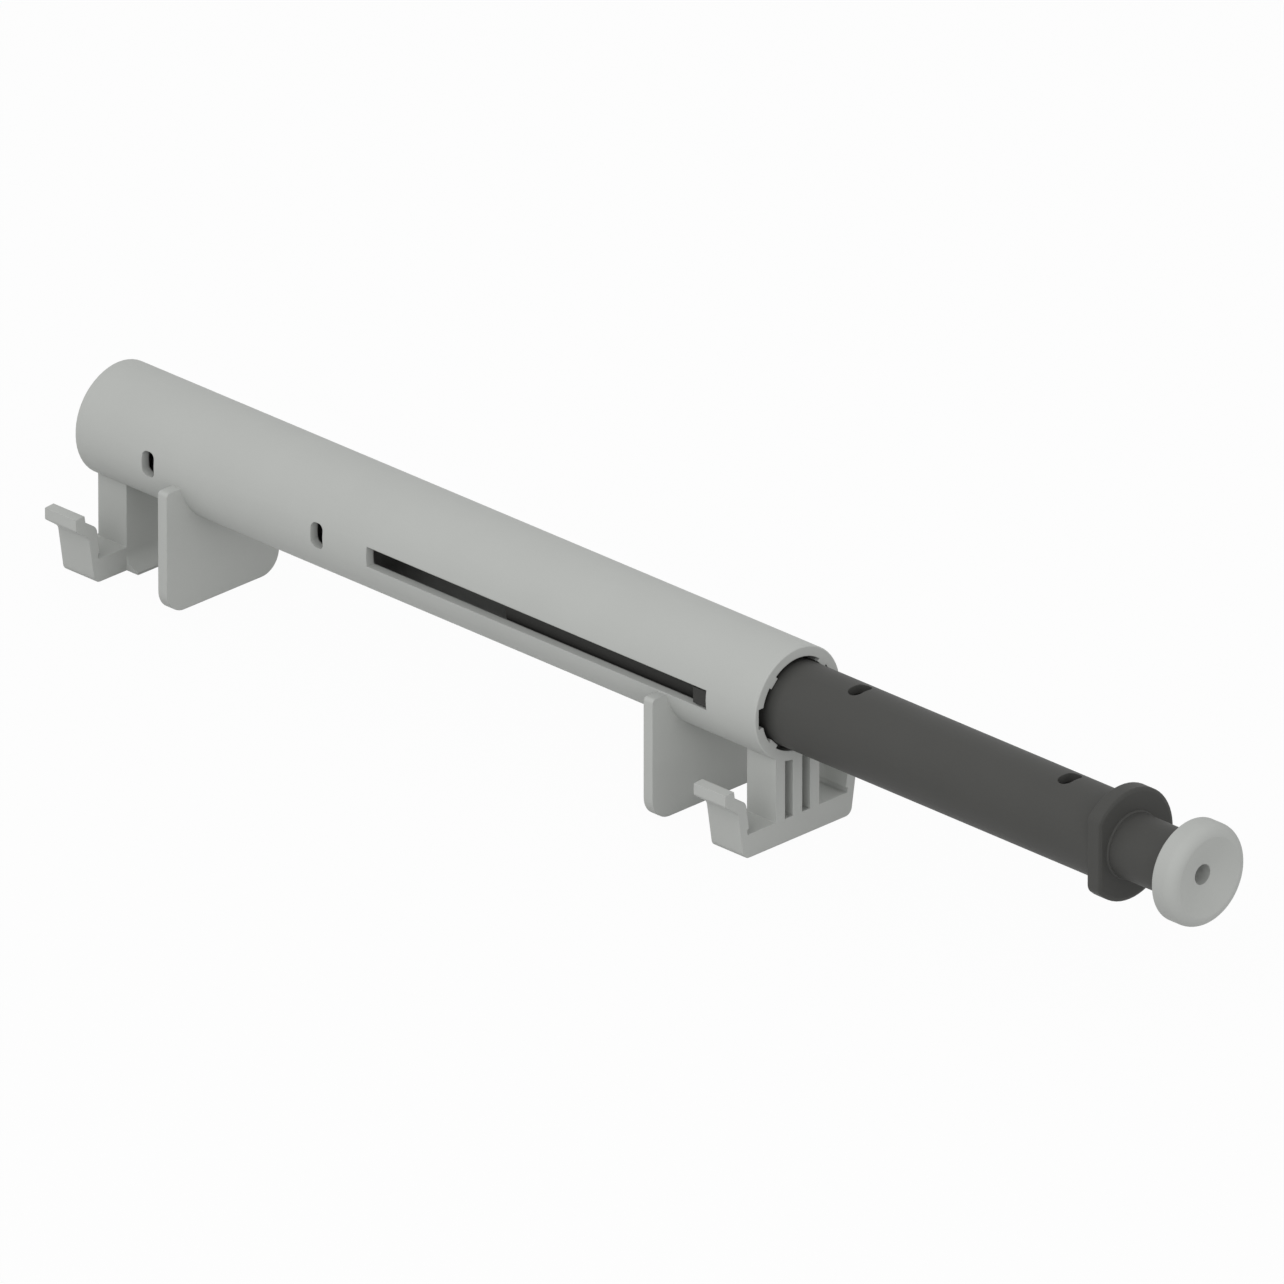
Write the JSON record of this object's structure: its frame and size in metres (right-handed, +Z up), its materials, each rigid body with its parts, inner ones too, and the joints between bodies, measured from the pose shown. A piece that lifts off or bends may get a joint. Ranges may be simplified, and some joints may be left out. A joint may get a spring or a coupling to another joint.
{
  "type": "soft close damper",
  "caption": "Push-in soft close damper: tubular clip-on housing with a sliding plunger sleeve, rounded bumper cap and an oil damper with return spring inside.",
  "frame": {"origin": "middle of the seat face of the front clip, on the plane that both clips and both fins stand on", "axes": "+X along the tube towards the bumper, +Z up from the seat to the tube, +Y across"},
  "size_m": [0.1784, 0.0236, 0.024],
  "materials": {
    "housing_plastic": "light grey moulded, fine satin",
    "cap_plastic": "light grey moulded, smooth satin",
    "sleeve_plastic": "dark grey moulded, satin",
    "cylinder_plastic": "black moulded",
    "guide_plastic": "natural white moulded",
    "seal_rubber": "black, soft",
    "foam": "closed-cell foam",
    "rod_steel": "ground",
    "spring_steel": "drawn wire"
  },
  "bodies": {
    "housing": {"housing": "housing_plastic", "rod_foot": "guide_plastic", "piston_rod": "rod_steel", "piston": "guide_plastic", "valve_disc": "spring_steel"},
    "plunger": {"plunger_sleeve": "sleeve_plastic", "bumper_cap": "cap_plastic", "damper_cylinder": "cylinder_plastic", "rod_guide": "guide_plastic", "rod_seal": "seal_rubber", "foam_compensator": "foam", "separator_washer": "guide_plastic", "return_spring": "spring_steel"}
  },
  "joints": [
    {"name": "plunger_slide", "type": "slide", "parent": "housing", "child": "plunger", "axis": [1, 0, 0], "range_m": [-0.0521, 0], "stiffness_N_per_m": 45, "springref_m": 0.012, "deforming": ["return_spring"]}
  ]
}
